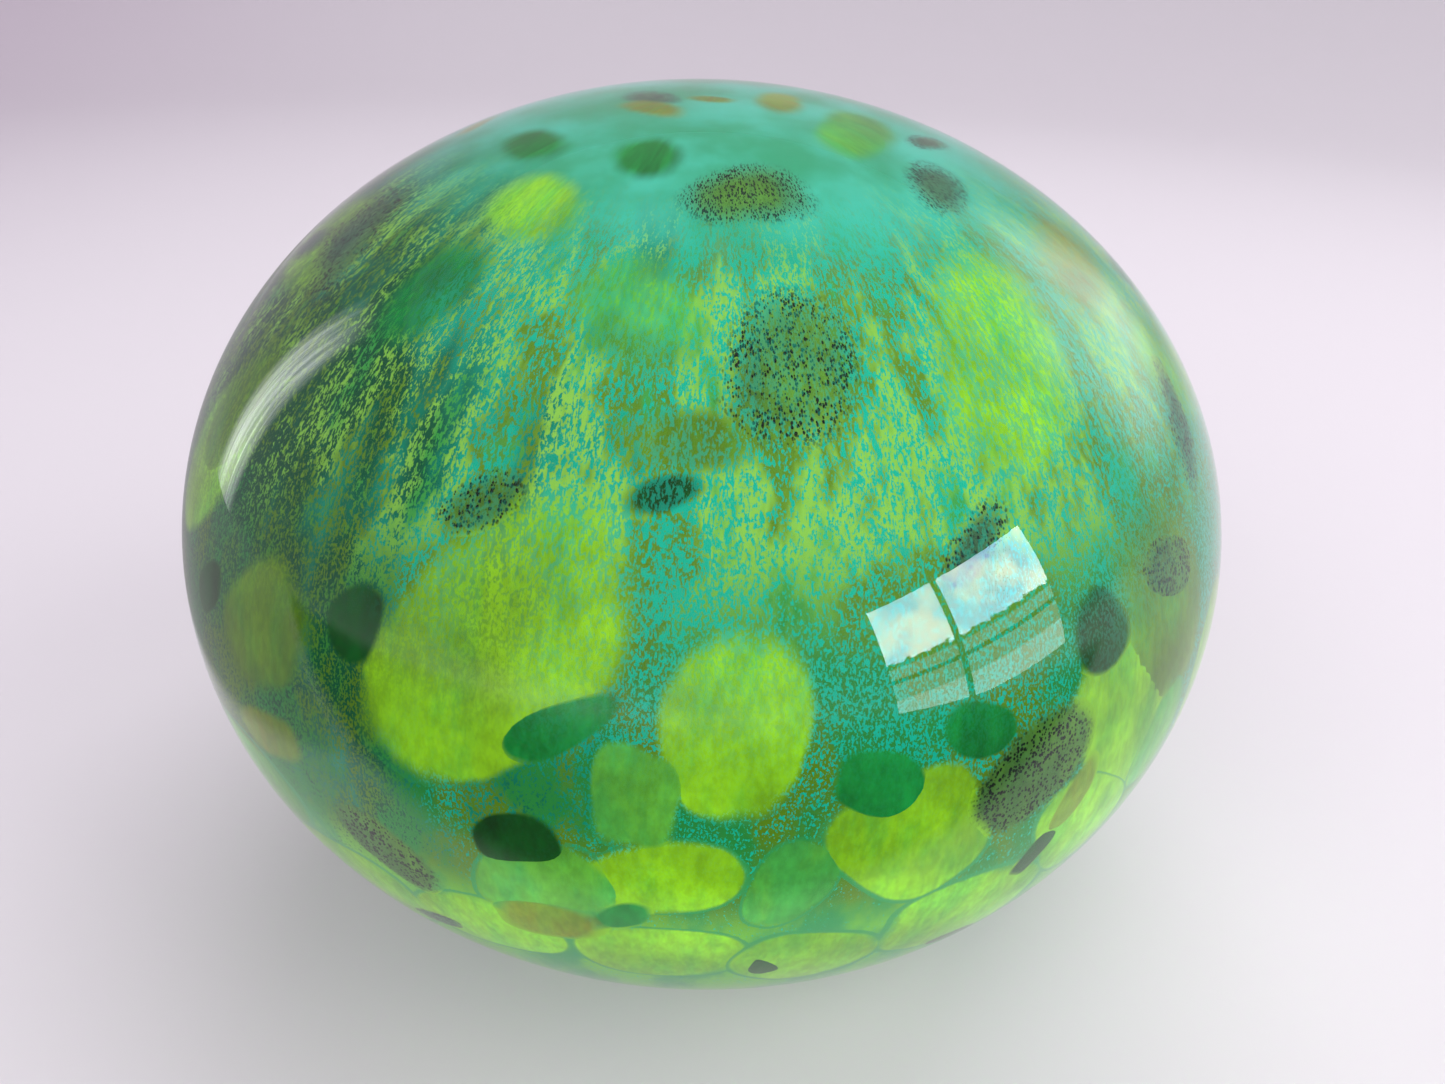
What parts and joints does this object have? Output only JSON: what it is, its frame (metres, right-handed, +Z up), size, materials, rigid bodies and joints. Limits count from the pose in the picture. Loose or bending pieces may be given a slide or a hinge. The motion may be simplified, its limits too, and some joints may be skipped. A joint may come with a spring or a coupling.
{
  "type": "glass cloche",
  "caption": "Squat blown-glass cloche with a smooth closed top and a turned-in ground mouth: a clear casing over coloured chips and petals on a crackled ground.",
  "frame": {"origin": "centre of the flat ground ring that the cloche stands on, at z = 0", "axes": "+Z up through the closed top, along the axis of revolution; -Y is the side seen in front, +X is to its right"},
  "size_m": [0.26, 0.26, 0.205],
  "materials": {
    "clear_glass": "fire-polished, high gloss",
    "turquoise_glass": "powder colour, smooth at the crown and crackled into fine flakes over the shoulder",
    "pale_green_glass": "smooth, milky",
    "lime_glass": "smooth, cloudy",
    "green_glass": "smooth, cloudy",
    "olive_glass": "smooth, cloudy",
    "emerald_glass": "smooth",
    "bottle_glass": "smooth, dark",
    "amber_glass": "smooth, cloudy",
    "pepper_glass": "peppered with fine black grains",
    "smoke_glass": "streaked and smoky"
  },
  "bodies": {
    "root": {"amber_chip_01": "amber_glass", "amber_chip_02": "amber_glass", "amber_chip_03": "amber_glass", "amber_chip_04": "amber_glass", "amber_chip_05": "amber_glass", "amber_chip_06": "amber_glass", "bottle_chip_01": "bottle_glass", "bottle_chip_02": "bottle_glass", "bottle_chip_03": "bottle_glass", "bottle_chip_04": "bottle_glass", "emerald_chip_01": "emerald_glass", "emerald_chip_02": "emerald_glass", "emerald_chip_03": "emerald_glass", "emerald_chip_04": "emerald_glass", "emerald_chip_05": "emerald_glass", "emerald_chip_06": "emerald_glass", "emerald_chip_07": "emerald_glass", "green_chip_01": "green_glass", "green_petal_01": "green_glass", "green_petal_02": "green_glass", "green_petal_03": "green_glass", "green_petal_04": "green_glass", "green_petal_05": "green_glass", "green_petal_06": "green_glass", "green_petal_07": "green_glass", "inner_gather": "pale_green_glass", "lime_petal_01": "lime_glass", "lime_petal_02": "lime_glass", "lime_petal_03": "lime_glass", "lime_petal_04": "lime_glass", "lime_petal_05": "lime_glass", "lime_petal_06": "lime_glass", "lime_petal_07": "lime_glass", "lime_petal_08": "lime_glass", "lime_petal_09": "lime_glass", "lime_petal_10": "lime_glass", "lime_petal_11": "lime_glass", "lime_petal_12": "lime_glass", "lime_petal_13": "lime_glass", "lime_petal_14": "lime_glass", "lime_petal_15": "lime_glass", "lime_petal_16": "lime_glass", "lime_petal_17": "lime_glass", "lime_petal_18": "lime_glass", "lime_petal_19": "lime_glass", "olive_petal_01": "olive_glass", "olive_petal_02": "olive_glass", "outer_casing": "clear_glass", "pepper_chip_01": "pepper_glass", "pepper_chip_02": "pepper_glass", "pepper_chip_03": "pepper_glass", "pepper_chip_04": "pepper_glass", "pepper_chip_05": "pepper_glass", "pepper_chip_06": "pepper_glass", "pepper_chip_07": "pepper_glass", "smoke_chip_01": "smoke_glass", "smoke_chip_02": "smoke_glass", "smoke_chip_03": "smoke_glass", "smoke_chip_04": "smoke_glass", "turquoise_ground": "turquoise_glass"}
  },
  "joints": []
}
